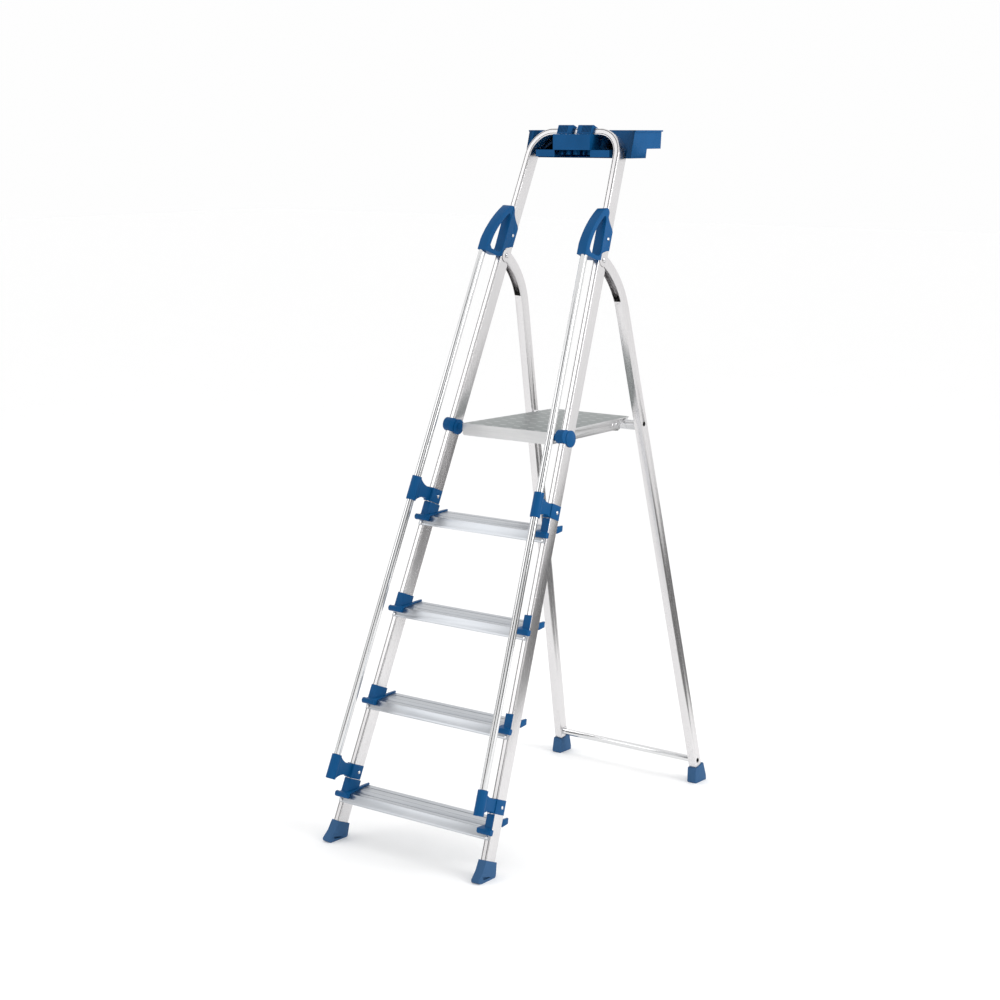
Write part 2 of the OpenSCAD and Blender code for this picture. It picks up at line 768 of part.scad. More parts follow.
// Side view of the tray's body, its walls moved in by inset
module tray_side(inset) {
    step_y = y_of(stile_d, rim_z) + 33;
    top = rim_z + (inset > 0 ? over : 0);
    polygon([
        [y_of(tray_v + inset, top), top],
        [y_of(tray_v + inset, tray_floor_z + inset), tray_floor_z + inset],
        [step_y - inset, tray_floor_z + inset],
        [step_y + 5 - inset, rim_z - shelf_depth + inset],
        [tray_back - 7 - inset, rim_z - shelf_depth + inset],
        [tray_back - 3 - inset, top]]);
}

module tray_wing(inset) {
    top = rim_z + (inset > 0 ? over : 0);
    front = [y_of(tray_v, top) - 22, y_of(tray_v, tray_floor_z) - 12];
    polygon([[front[0] + inset, top], [front[1] + inset, tray_floor_z + inset],
        [tray_back - 3 * tray_reach / 4, tray_floor_z + inset], [tray_back - 3 * tray_reach / 4, top]]);
}

module tray_block() {
    lower = tray_floor_z + 9;
    front = y_of(0, rim_z) - 25;
    plate_up = 13;        // the ribs show below the front plate
    rib_back = 9;
    difference() {
        across(-62, 62)
            polygon([[front, block_top], [y_of(stile_d / 2, rim_z), block_top],
                [y_of(tray_v + 2, block_back), block_back], [y_of(tray_v + 2, lower), lower],
                [front + rib_back, lower], [front + rib_back, lower + plate_up], [front, lower + plate_up]]);
        for (x = [-60 : 24 : 36])
            translate([x, front + 4, lower - over]) cube([24 - 2.5, 22, 26]);
        front_plane() translate([-base_w, -part_gap, hoop_s - stile_w - part_gap])
            cube([2 * base_w, stile_d + 2 * part_gap, 2 * stile_w]);
    }
    for (side = [-1, 1])
        across(side < 0 ? -124 : 60, side < 0 ? -60 : 124)
            polygon([[front + 5, tray_floor_z + 3], [front + 5, tray_floor_z + 22],
                [y_of(tray_v + 2, tray_floor_z + 22), tray_floor_z + 22],
                [y_of(tray_v + 2, tray_floor_z + 3), tray_floor_z + 3]]);
}

module tool_tray() {
    half = wing_x + wing_w;
    lip = 3;
    color("royalblue") translate([0, -centre_y, 0]) difference() {
        union() {
            difference() {
                union() {
                    across(lip - half, half - lip) tray_side(0);
                    for (x = [lip - half, wing_x]) across(x, x + wing_w - lip) tray_wing(0);
                    translate([0, 0, rim_z - 4]) linear_extrude(4) difference() {
                        polygon([[-half, y_of(tray_v, rim_z) - 22], [-half, tray_back], [half, tray_back],
                            [half, y_of(tray_v, rim_z) - 22]]);
                        translate([-wing_x, 0]) square([2 * wing_x, y_of(tray_v, rim_z)]);
                    }
                }
                difference() {
                    across(lip + tray_wall - half, half - lip - tray_wall) tray_side(tray_wall);
                    for (x = [-61, 59]) translate([x, 0, 0]) cube([2, 2 * tray_back, rim_z - 12]);
                }
                for (x = [lip + tray_wall - half, wing_x + tray_wall])
                    across(x, x + wing_w - lip - 2 * tray_wall) tray_wing(tray_wall);
            }
            tray_block();
            clip_ears();
        }
        front_plane() {
            translate([0, clip_v, clip_s]) rod(-70, 70, clip_pin_d);
            for (x = [-clip_x1 - 0.3, clip_x0 - 0.3])
                translate([x, stile_d + 1, clip_s - clip_boss_r - 1])
                    cube([clip_x1 - clip_x0 + 0.6, 14, 40]);
        }
    }
}

clip_x0 = 9;
clip_x1 = 58;
clip_boss_r = 5.5;

// Ears behind the hoop that carry the clips' pins
module clip_ears() {
    for (x = [[-clip_x1 - 5.3, -clip_x1 - 0.3], [0.3 - clip_x0, clip_x0 - 0.3], [clip_x1 + 0.3, clip_x1 + 5.3]])
        across(x[0], x[1])
            front_side() polygon([[clip_v - 4.5, clip_s - 30], [clip_v - 4.5, clip_s + 4], [clip_v + 4.5, clip_s + 4],
                [clip_v + 6, clip_s - 30]]);
}

// Side view drawn in v and s, turned into y and z
module front_side() {
    rotate(-front_lean) children();
}

module tray_clip(side) {
    front = [-9, -part_gap];
    foot = block_top + part_gap;
    plate = 7;
    color("mediumblue") sided(side) difference() {
        union() {
            across(clip_x0, clip_x1) front_side()
                polygon([[front[0], s_at(front[0], foot)], [front[0], hoop_s + plate - 2], [-5, hoop_s + plate],
                    [stile_d - 4, hoop_s + plate - 1], [clip_v + 1, clip_s + clip_boss_r - 1],
                    [clip_v - 1, clip_s - 3], [stile_d + 1.5, clip_s - 1], [stile_d + 1.5, hoop_s + part_gap],
                    [front[1], hoop_s + part_gap], [front[1], s_at(front[1], foot)]]);
            front_plane() translate([0, clip_v, clip_s]) rod(clip_x0 + 0.3, clip_x1 - 0.3, 2 * clip_boss_r);
        }
        front_plane() translate([0, clip_v, clip_s])
            rod(clip_x0 - over, clip_x1 + over, clip_pin_d + 2 * run_fit);
    }
}

module tray_clip_pins() {
    color("silver") for (side = [-1, 1])
        sided(side) front_plane() translate([0, clip_v, clip_s])
            rod(clip_x0 - 7, clip_x1 + 5, clip_pin_d - 0.01);
}

/* Assembly */

front_tube();
handrail(-1);  // handrail_left
handrail(1);  // handrail_right
handle(-1);  // handle_left
handle(1);  // handle_right
rail_bracket(-1, high_saddle_s);  // rail_bracket_upper_left
rail_bracket(1, high_saddle_s);  // rail_bracket_upper_right
rail_bracket(-1, low_saddle_s);  // rail_bracket_lower_left
rail_bracket(1, low_saddle_s);  // rail_bracket_lower_right
tread(0);  // tread_1
tread(1);  // tread_2
tread(2);  // tread_3
tread(3);  // tread_4
tread_bracket(-1, 0);  // tread_bracket_1_left
tread_bracket(1, 0);  // tread_bracket_1_right
tread_bracket(-1, 1);  // tread_bracket_2_left
tread_bracket(1, 1);  // tread_bracket_2_right
tread_bracket(-1, 2);  // tread_bracket_3_left
tread_bracket(1, 2);  // tread_bracket_3_right
tread_bracket(-1, 3);  // tread_bracket_4_left
tread_bracket(1, 3);  // tread_bracket_4_right
front_foot(-1);  // front_foot_left
front_foot(1);  // front_foot_right
platform_knob(-1);  // platform_knob_left
platform_knob(1);  // platform_knob_right
tread_rivets();
wrap_rivets();
leg_pivots();
tool_tray();
tray_clip_pins();
tray_clip(-1);  // tray_clip_left
tray_clip(1);  // tray_clip_right
rear_leg(-1);  // rear_leg_left
rear_leg(1);  // rear_leg_right
upper_crossbar();
lower_crossbar();
crossbar_bolts();
crossbar_washers();
rear_foot(-1);  // rear_foot_left
rear_foot(1);  // rear_foot_right
platform_deck();
platform_hook(-1);  // platform_hook_left
platform_hook(1);  // platform_hook_right
platform_rivets();
platform_retainers();
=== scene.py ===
# Step ladder: bent aluminium frame, handrails, ribbed treads, fold-up platform and tool tray
import json
import math
import bmesh
import bpy
from mathutils import Matrix, Vector


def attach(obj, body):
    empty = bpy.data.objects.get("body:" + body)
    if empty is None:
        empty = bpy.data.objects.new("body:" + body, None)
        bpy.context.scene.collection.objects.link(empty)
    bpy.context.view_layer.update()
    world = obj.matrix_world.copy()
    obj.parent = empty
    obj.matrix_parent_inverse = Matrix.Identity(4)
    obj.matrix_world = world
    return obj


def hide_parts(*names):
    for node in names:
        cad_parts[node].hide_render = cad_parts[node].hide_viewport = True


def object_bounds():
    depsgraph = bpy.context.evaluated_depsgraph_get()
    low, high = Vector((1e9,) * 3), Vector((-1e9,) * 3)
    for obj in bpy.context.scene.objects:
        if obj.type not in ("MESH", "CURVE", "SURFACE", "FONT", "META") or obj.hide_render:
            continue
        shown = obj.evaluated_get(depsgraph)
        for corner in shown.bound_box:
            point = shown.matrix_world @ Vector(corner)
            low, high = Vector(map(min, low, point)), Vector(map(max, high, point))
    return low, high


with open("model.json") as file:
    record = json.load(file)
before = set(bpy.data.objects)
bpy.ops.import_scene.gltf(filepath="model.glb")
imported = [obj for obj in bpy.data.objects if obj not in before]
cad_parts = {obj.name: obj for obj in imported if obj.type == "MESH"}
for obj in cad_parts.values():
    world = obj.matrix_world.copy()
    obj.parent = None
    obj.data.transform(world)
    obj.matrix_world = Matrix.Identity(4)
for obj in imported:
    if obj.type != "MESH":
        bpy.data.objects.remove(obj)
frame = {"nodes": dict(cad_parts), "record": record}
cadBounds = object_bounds()
nodes = frame["nodes"]
bodyOf = {node: body for body, members in frame["record"]["behaviour"]["bodies"].items() for node in members}

# driving sizes, in metres and degrees, as in the design
ladder = {
    "lean": 22.0,           # front frame, back from vertical
    "taper": 3.1,           # each stile, inwards
    "rearLean": 12.4,
    "baseWidth": 0.528,
    "platformHeight": 1.092,
    "stileWidth": 0.019,
    "stileDepth": 0.040,
    "hoopRadius": 0.080,
    "hoopAbovePlatform": 0.858,
    "toeOut": 0.016,
    "pivotDrop": 0.367,         # hoop top down to the leg pivots
    "handleBelow": 0.016,       # handle underside below the pivots
}
lean = math.radians(ladder["lean"])
taper = math.radians(ladder["taper"])
rearLean = math.radians(ladder["rearLean"])
centreY = cadBounds[1][1] - ladder["toeOut"]      # stile front at the floor is this far behind the origin
hoopS = ladder["platformHeight"] / math.cos(lean) + ladder["hoopAbovePlatform"]      # up the front's slope
hoopMidS = hoopS - ladder["hoopRadius"]
hoopMidX = ladder["baseWidth"] / 2 - (ladder["hoopRadius"] + hoopMidS * math.sin(taper)) / math.cos(taper)
frontPlane = Matrix.Translation((0, -centreY, 0)) @ Matrix.Rotation(-lean, 4, "X")
alongStile = (lean, 0, 0)
alongLeg = (-rearLean, 0, 0)
level = (0, 0, 0)
upright = Matrix.Translation((ladder["baseWidth"] / 2, 0, 0)) @ Matrix.Rotation(-taper, 4, "Y")


def stileMatrix(side):      # x from the outer face, y behind the front face, z along the stile
    mirror = Matrix.Scale(-1, 4, (1, 0, 0)) if side < 0 else Matrix()
    return mirror @ frontPlane @ upright


# shader helpers
class Signal:
    def __init__(self, shader, socket):
        self.shader = shader
        self.socket = socket

    def maths(self, operation, first, second=0.0):
        return self.shader.add("ShaderNodeMath", {"operation": operation}, {0: first, 1: second})

    def __add__(self, other):
        return self.maths("ADD", self, other)

    def __radd__(self, other):
        return self.maths("ADD", other, self)

    def __sub__(self, other):
        return self.maths("SUBTRACT", self, other)

    def __rsub__(self, other):
        return self.maths("SUBTRACT", other, self)

    def __mul__(self, other):
        return self.maths("MULTIPLY", self, other)

    def __rmul__(self, other):
        return self.maths("MULTIPLY", other, self)


class Shader:
    def __init__(self, name):
        self.material = bpy.data.materials.new(name)
        self.material.use_nodes = True
        self.tree = self.material.node_tree
        self.tree.nodes.clear()
        self.surface = self.tree.nodes.new("ShaderNodeBsdfPrincipled")
        output = self.tree.nodes.new("ShaderNodeOutputMaterial")
        self.tree.links.new(self.surface.outputs[0], output.inputs[0])

    def feed(self, target, value):
        if isinstance(value, Signal):
            self.tree.links.new(value.socket, target)
        else:
            target.default_value = value

    def add(self, kind, settings, sockets, out=0):
        node = self.tree.nodes.new(kind)
        for key, value in settings.items():
            setattr(node, key, value)
        for key, value in sockets.items():
            self.feed(node.inputs[key], value)
        return Signal(self, node.outputs[out])

    def place(self, turn=level, stretch=(1, 1, 1)):      # object coordinates, turned and stretched
        where = self.add("ShaderNodeTexCoord", {}, {}, 3)
        return self.add("ShaderNodeMapping", {}, {"Vector": where, "Rotation": turn, "Scale": stretch})

    def part(self, where, axis):      # 0, 1 or 2 for x, y or z
        return self.add("ShaderNodeSeparateXYZ", {}, {0: where}, axis)

    def noise(self, where, scale, detail=3.0, rough=0.5):
        return self.add("ShaderNodeTexNoise", {}, {"Vector": where, "Scale": scale, "Detail": detail,
                                                   "Roughness": rough})

    def streaks(self, turn, grain):
        return self.noise(self.place(turn, grain), 1.0, metalWear["streakDetail"], metalWear["streakRough"])

    def ramp(self, value, low, high):
        return self.add("ShaderNodeMapRange", {}, {"Value": value, "From Min": low, "From Max": high})

    def mixColour(self, factor, first, second):
        return self.add("ShaderNodeMix", {"data_type": "RGBA"}, {0: factor, 6: first, 7: second}, 2)

    def finish(self, colour, rough, metal=0.0, height=None, strength=0.2, depth=0.0005, **constants):
        self.feed(self.surface.inputs["Base Color"], colour)
        self.feed(self.surface.inputs["Roughness"], rough)
        self.feed(self.surface.inputs["Metallic"], metal)
        if height is not None:
            bump = self.add("ShaderNodeBump", {}, {"Strength": strength, "Distance": depth, "Height": height})
            self.feed(self.surface.inputs["Normal"], bump)
        for key, value in constants.items():
            self.surface.inputs[key.replace("_", " ")].default_value = value
        return self.material


def uneven(signal, amount):      # swings about nothing, to be added to a roughness
    return (signal - 0.5) * amount


def waveAlong(u, pitch):
    return u.maths("SINE", u * (2 * math.pi / pitch))


def bandAt(u, centre, half, soft):      # 1 inside the band, 0 outside
    return 1 - u.shader.ramp(u.maths("ABSOLUTE", u - centre), half, half + soft)


# materials
metalWear = {"streakDetail": 4.0, "streakRough": 0.6, "streakSwing": 0.10, "cloudSwing": 0.08,
             "depth": 0.0002,
             "scuff": {"size": 160.0, "detail": 5.0, "rough": 0.7, "from": 0.62, "to": 0.78, "tint": 0.18,
                       "roughen": 0.08}}
plasticWear = {"cloud": 14.0, "cloudSwing": 0.12, "grainDetail": 2.0, "depth": 0.0003,
               "scuff": {"size": 90.0, "detail": 5.0, "rough": 0.75, "from": 0.63, "to": 0.8, "tint": 0.12,
                         "roughen": 0.1}}


def scuffed(shader, scuff):
    marks = shader.noise(shader.place(), scuff["size"], scuff["detail"], scuff["rough"])
    return shader.ramp(marks, scuff["from"], scuff["to"])


def makeDrawnAluminium(name, turn, look):      # streaks run along the piece
    shader = Shader(name)
    streak = shader.streaks(turn, look["grain"])
    cloud = shader.noise(shader.place(), look["cloud"])
    scuff = scuffed(shader, metalWear["scuff"])
    shade = shader.mixColour(streak * 0.5 + cloud * 0.5, look["dark"], look["light"])
    shade = shader.mixColour(scuff * metalWear["scuff"]["tint"], shade, look["scuff"])
    rough = look["rough"] + uneven(streak, metalWear["streakSwing"]) + uneven(cloud, metalWear["cloudSwing"])
    rough = rough + scuff * metalWear["scuff"]["roughen"]
    return shader.finish(shade, rough, 1.0, streak, look["bump"], metalWear["depth"])


def makePlastic(name, look):
    shader = Shader(name)
    grain = shader.noise(shader.place(), look["grain"], plasticWear["grainDetail"])
    cloud = shader.noise(shader.place(), plasticWear["cloud"])
    scuff = scuffed(shader, plasticWear["scuff"])
    shade = shader.mixColour(cloud, look["dark"], look["light"])
    shade = shader.mixColour(scuff * plasticWear["scuff"]["tint"], shade, look["wear"])
    rough = look["rough"] + uneven(cloud, plasticWear["cloudSwing"]) + scuff * plasticWear["scuff"]["roughen"]
    return shader.finish(shade, rough, 0.0, grain, look["bump"], plasticWear["depth"],
                         Specular_IOR_Level=look["gloss"])


def makeTreadMetal(name, look):      # ribs and grooves run along each tread, fixed to its nose line; painted shade darkens the rib valleys and groove lines
    shader = Shader(name)
    here = shader.place()
    behindNose = shader.part(here, 1) - shader.part(here, 2) * math.tan(lean) + centreY
    streak = shader.streaks(level, look["grain"])
    cloud = shader.noise(here, look["cloud"])
    ribs = waveAlong(behindNose, look["pitch"])
    lines = sum(bandAt(behindNose, *line) for line in look["lines"])
    shade = shader.mixColour(streak * 0.5 + cloud * 0.5, look["dark"], look["light"])
    # painted shade in the rib valleys
    valleys = shader.ramp(ribs, look["valleyFrom"], -1.0)
    shade = shader.mixColour(valleys * look["ribShade"], shade, look["valley"])
    # painted shade along the recessed groove lines
    shade = shader.mixColour(lines * look["lineShade"], shade, look["line"])
    rough = look["rough"] + uneven(streak, look["swing"][0]) + uneven(cloud, look["swing"][1])
    height = ribs * look["ribHeight"] + streak * look["streakHeight"] - lines
    return shader.finish(shade, rough, 1.0, height, look["bump"], look["depth"])


def makePlatformMetal(name, look):      # fine ribs with rows of short raised bars, with painted shade in the rib valleys and a painted highlight on the bars
    shader = Shader(name)
    here = shader.place()
    x = shader.part(here, 0)
    y = shader.part(here, 1)
    streak = shader.streaks(level, look["grain"])
    cloud = shader.noise(here, look["cloud"])
    ribs = waveAlong(y, look["pitch"])
    inBar = [bandAt(u.maths("PINGPONG", u, cell / 2), 0.0, bar / 2, look["barSoft"])
             for u, cell, bar in zip((x, y), look["cell"], look["bar"])]
    bars = inBar[0] * inBar[1]
    shade = shader.mixColour(streak * 0.4 + cloud * 0.6, look["dark"], look["light"])
    # painted shade in the rib valleys
    valleys = shader.ramp(ribs, look["valleyFrom"], -1.0)
    shade = shader.mixColour(valleys * look["ribShade"], shade, look["valley"])
    # painted highlight: the raised bars are coloured lighter
    shade = shader.mixColour(bars * look["barShade"], shade, look["scuff"])
    rough = look["rough"] + uneven(streak, look["swing"][0]) + uneven(cloud, look["swing"][1])
    height = ribs * look["ribHeight"] + streak * look["streakHeight"] + bars
    return shader.finish(shade, rough, 1.0, height, look["bump"], look["depth"])


metalLooks = {
    "tube": {"grain": (900, 900, 14), "cloud": 6.0, "rough": 0.26, "bump": 0.12,
             "dark": (0.64, 0.63, 0.635, 1), "light": (0.82, 0.805, 0.81, 1), "scuff": (0.86, 0.86, 0.86, 1)},
    "rail": {"grain": (700, 700, 8), "cloud": 5.0, "rough": 0.14, "bump": 0.05,
             "dark": (0.66, 0.665, 0.67, 1), "light": (0.82, 0.82, 0.825, 1), "scuff": (0.9, 0.9, 0.9, 1)},
    "tread": {"grain": (14, 900, 900), "cloud": 7.0, "rough": 0.32, "bump": 0.35, "depth": 0.0006,
              "dark": (0.40, 0.43, 0.47, 1), "light": (0.68, 0.69, 0.71, 1),
              # the valley and line colours are painted shade for the rib valleys and the grooves
              "valley": (0.42, 0.45, 0.50, 1), "line": (0.14, 0.16, 0.19, 1), "swing": (0.12, 0.1),
              "pitch": 0.0044, "valleyFrom": 0.2, "ribShade": 0.65, "ribHeight": 0.5, "streakHeight": 0.3,
              "lineShade": 0.9,
              "lines": [      # behind the nose, half width, soft edge
                  (0.016, 0.0009, 0.0006), (0.0405, 0.0004, 0.0006), (0.002, 0.0004, 0.0004),
                  (0.066, 0.0011, 0.0006)]},
    # the deck's top, coloured far darker than the lip of the same sheet: painted shade
    "sheet": {"grain": (60, 700, 700), "cloud": 9.0, "rough": 0.36, "bump": 0.35, "depth": 0.0008,
              # its scuff colour here is the painted highlight on the raised bars
              "dark": (0.165, 0.19, 0.19, 1), "light": (0.31, 0.335, 0.33, 1), "scuff": (0.75, 0.76, 0.76, 1),
              # the valley colour is painted shade in the rib valleys
              "valley": (0.13, 0.145, 0.15, 1), "swing": (0.12, 0.12),
              "pitch": 0.006, "valleyFrom": 0.0, "ribShade": 0.35, "ribHeight": 0.4, "streakHeight": 0.2,
              "cell": (0.048, 0.036), "bar": (0.020, 0.003), "barSoft": 0.001, "barShade": 0.7},
    "lip": {"grain": (14, 700, 700), "cloud": 9.0, "rough": 0.38, "bump": 0.10,
            "dark": (0.50, 0.51, 0.515, 1), "light": (0.86, 0.85, 0.85, 1), "scuff": (0.78, 0.78, 0.78, 1)},
    # near-black finish for the front tube's grooves: painted shade in the recesses
    "groove": {"grain": (300, 300, 14), "cloud": 20.0, "rough": 0.6, "bump": 0.1,
               "dark": (0.10, 0.10, 0.105, 1), "light": (0.2, 0.2, 0.205, 1), "scuff": (0.3, 0.3, 0.3, 1)},
    "bright": {"grain": (300, 300, 300), "cloud": 20.0, "rough": 0.25, "bump": 0.08,
               "dark": (0.62, 0.62, 0.63, 1), "light": (0.80, 0.80, 0.81, 1), "scuff": (0.9, 0.9, 0.9, 1)},
    "dark": {"grain": (300, 300, 300), "cloud": 30.0, "rough": 0.35, "bump": 0.1,
             "dark": (0.05, 0.05, 0.055, 1), "light": (0.10, 0.10, 0.11, 1), "scuff": (0.3, 0.3, 0.3, 1)},
}
plasticLooks = {
    "blue": {"grain": 2600.0, "rough": 0.40, "bump": 0.10, "gloss": 0.10,
             "dark": (0.001, 0.058, 0.170, 1), "light": (0.006, 0.086, 0.245, 1),
             "wear": (0.03, 0.13, 0.30, 1)},
    "shade": {"grain": 2600.0, "rough": 0.5, "bump": 0.10, "gloss": 0.10,
              "dark": (0.0006, 0.012, 0.040, 1), "light": (0.001, 0.022, 0.065, 1),
              "wear": (0.01, 0.05, 0.12, 1)},
    "foot": {"grain": 1500.0, "rough": 0.62, "bump": 0.25, "gloss": 0.2,
             "dark": (0.022, 0.080, 0.18, 1), "light": (0.036, 0.105, 0.23, 1),
             "wear": (0.10, 0.17, 0.28, 1)},
}
finishes = {
    "stile": makeDrawnAluminium("drawnStile", alongStile, metalLooks["tube"]),
    "leg": makeDrawnAluminium("drawnLeg", alongLeg, metalLooks["tube"]),
    "rail": makeDrawnAluminium("polishedRail", alongStile, metalLooks["rail"]),
    "tread": makeTreadMetal("ribbedTread", metalLooks["tread"]),
    "sheet": makePlatformMetal("platformSheet", metalLooks["sheet"]),
    "lip": makeDrawnAluminium("platformLip", level, metalLooks["lip"]),
    "groove": makeDrawnAluminium("grooveDirt", alongStile, metalLooks["groove"]),
    "bright": makeDrawnAluminium("brightMetal", level, metalLooks["bright"]),
    "dark": makeDrawnAluminium("darkSteel", level, metalLooks["dark"]),
    "blue": makePlastic("bluePlastic", plasticLooks["blue"]),
    "foot": makePlastic("footPlastic", plasticLooks["foot"]),
    "shade": makePlastic("ribShade", plasticLooks["shade"]),
}
print("materials made:", len(finishes))


# mesh helpers
def finishPiece(name, bm, look, body, cadNodes=(), sharp=35.0, keepNormals=False):
    if not keepNormals:      # a copy of a CAD node already points the right way
        bmesh.ops.recalc_face_normals(bm, faces=bm.faces)
    mesh = bpy.data.meshes.new(name)
    bm.to_mesh(mesh)
    bm.free()
    mesh.shade_smooth()
    mesh.set_sharp_from_angle(angle=math.radians(sharp))
    mesh.materials.append(finishes[look])
    piece = bpy.data.objects.new(name, mesh)
    bpy.context.scene.collection.objects.link(piece)
    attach(piece, body)
    if cadNodes:
        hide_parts(*cadNodes)
    return piece


def roundEdges(bm, edges, width, steps):
    bmesh.ops.bevel(bm, geom=edges, offset=width, offset_type="OFFSET", segments=steps, profile=0.5,
                    affect="EDGES", clamp_overlap=True, material=-1)


def edgesOver(bm, angle):
    return [e for e in bm.edges if len(e.link_faces) == 2 and e.calc_face_angle() > angle]


softening = {"merge": 1e-5, "flat": 1.0, "corner": 28.0}      # metres, and degrees between two faces


def softened(node, edge, steps):      # the CAD solid with its edges rounded
    bm = bmesh.new()
    bm.from_mesh(nodes[node].data)
    bmesh.ops.remove_doubles(bm, verts=bm.verts, dist=softening["merge"])
    bmesh.ops.dissolve_limit(bm, angle_limit=math.radians(softening["flat"]), verts=bm.verts, edges=bm.edges,
                             delimit={"NORMAL"})
    roundEdges(bm, edgesOver(bm, math.radians(softening["corner"])), edge, steps)
    return bm


# front tube: one bent length with rounded corners and two grooves down its front
frontTube = {"corner": 0.0025, "cornerSteps": 4, "foot": 0.024, "bendSteps": 24, "sharp": 30.0,
             "groove": {"edge": 0.0030, "width": 0.0017, "depth": 0.0008, "slope": 0.0002}}


def stileSection(width, depth, corner, groove):      # x from the outer face, y behind the front face
    near = groove["edge"] - width
    far = near + groove["width"]
    front = [(corner - width, 0), (near, 0), (near + groove["slope"], groove["depth"]),
             (far, groove["depth"]), (far + groove["slope"], 0)]
    points = front + [(-width - x, y) for x, y in reversed(front)]
    corners = [((-corner, corner), -90), ((-corner, depth - corner), 0),
               ((corner - width, depth - corner), 90), ((corner - width, corner), 180)]
    for (cx, cy), start in corners:
        for step in range(frontTube["cornerSteps"] + 1):
            angle = math.radians(start + 90 * step / frontTube["cornerSteps"])
            points.append((cx + corner * math.cos(angle), cy + corner * math.sin(angle)))
    return points


def inGroove(face):      # the floor of a groove, or one of its sides
    depth = face.calc_center_median().y / frontTube["groove"]["depth"]
    facing = abs(face.normal.y)
    return (facing > 0.99 and 0.9 < depth < 1.1) or (facing < 0.5 and 0.4 < depth < 0.6)


def makeFrontTube():
    bm = bmesh.new()
    section = stileSection(ladder["stileWidth"], ladder["stileDepth"], frontTube["corner"],
                           frontTube["groove"])
    ring = [bm.verts.new((x, y, frontTube["foot"])) for x, y in section]
    for a, b in zip(ring, ring[1:] + ring[:1]):
        bm.edges.new((a, b))
    bmesh.ops.remove_doubles(bm, verts=ring, dist=1e-6)
    bmesh.ops.transform(bm, matrix=upright, verts=bm.verts)
    firstCap = list(bm.edges)
    bendS = hoopMidS * math.cos(taper) + (ladder["baseWidth"] / 2 - hoopMidX) * math.sin(taper)
    up = upright.to_3x3() @ Vector((0, 0, 1))
    down = Vector((up.x, up.y, -up.z))

    def push(step, loop):
        made = bmesh.ops.extrude_edge_only(bm, edges=loop)["geom"]
        bmesh.ops.translate(bm, vec=step, verts=[g for g in made if isinstance(g, bmesh.types.BMVert)])
        return [g for g in made if isinstance(g, bmesh.types.BMEdge)]

    def turn(centre, loop):
        made = bmesh.ops.spin(bm, geom=loop, cent=centre, axis=(0, -1, 0), angle=math.radians(90) - taper,
                              steps=frontTube["bendSteps"], use_merge=False)["geom_last"]
        return [g for g in made if isinstance(g, bmesh.types.BMEdge)]

    loop = push(up * (bendS - frontTube["foot"]), firstCap)
    loop = turn((hoopMidX, 0, hoopMidS), loop)
    loop = push(Vector((-2 * hoopMidX, 0, 0)), loop)
    loop = turn((-hoopMidX, 0, hoopMidS), loop)
    lastCap = push(down * (bendS - frontTube["foot"]), loop)
    for cap in (firstCap, lastCap):
        bmesh.ops.contextual_create(bm, geom=cap)
    for face in bm.faces:      # the grooves get a near-black finish, painted shade in the recesses
        if inGroove(face):
            face.material_index = 1
    bmesh.ops.transform(bm, matrix=frontPlane, verts=bm.verts)
    tube = finishPiece("frontTube", bm, "stile", "front_frame", ["front_tube"], frontTube["sharp"])
    tube.data.materials.append(finishes["groove"])


makeFrontTube()
print("front tube bent")

# pieces whose CAD shape is kept, with rounded edges: start of the nodes' names, finish, edge, steps
softPieces = [
    ("handle", "blue", 0.0022, 3), ("rail_bracket", "blue", 0.0014, 3), ("tread_bracket", "blue", 0.0012, 2),
    ("front_foot", "foot", 0.0022, 3), ("rear_foot", "foot", 0.0022, 3), ("platform_knob", "blue", 0.0022, 4),
    ("tool_tray", "blue", 0.0010, 2), ("tray_clip_left", "blue", 0.0014, 3),
    ("tray_clip_right", "blue", 0.0014, 3), ("rear_leg", "leg", 0.0018, 3), ("tread_", "tread", 0.0005, 2),
    ("platform_deck", "sheet", 0.0012, 3), ("platform_hook", "bright", 0.0004, 2),
    ("handrail", "rail", 0.0003, 2), ("lower_crossbar", "rail", 0.0003, 2),
    ("upper_crossbar", "bright", 0.0004, 2),
]
plainNodes = {"tread_rivets": "bright", "wrap_rivets": "bright", "leg_pivots": "bright",
              "tray_clip_pins": "bright", "crossbar_bolts": "dark", "crossbar_washers": "bright",
              "platform_rivets": "bright", "platform_retainers": "dark"}
done = {"front_tube"}
for prefix, look, edge, steps in softPieces:
    for node in sorted(nodes):
        if node.startswith(prefix) and node not in done and node not in plainNodes:
            name = node.title().replace("_", "")
            finishPiece(name[0].lower() + name[1:], softened(node, edge, steps), look, bodyOf[node], [node],
                        keepNormals=True)
            done.add(node)
for node, look in plainNodes.items():
    nodes[node].data.materials.clear()
    nodes[node].data.materials.append(finishes[look])
print("edges rounded on", len(done) - 1, "pieces; left over:", sorted(set(nodes) - done - set(plainNodes)))

deck = bpy.data.objects["platformDeck"].data
deck.materials.append(finishes["lip"])
for face in deck.polygons:
    face.material_index = 0 if face.normal.z > 0.9 else 1      # the relief is on top only, and the top's far darker colour is painted shade

# dark strips over the tray's clips: painted shade standing in for the clips' slots
clipRibs = {"from": 0.0260, "to": 0.0560, "pitch": 0.0046, "width": 0.0017, "proud": 0.0005, "front": -0.009,
            "low": 0.015, "high": 0.004, "edge": 0.0003}


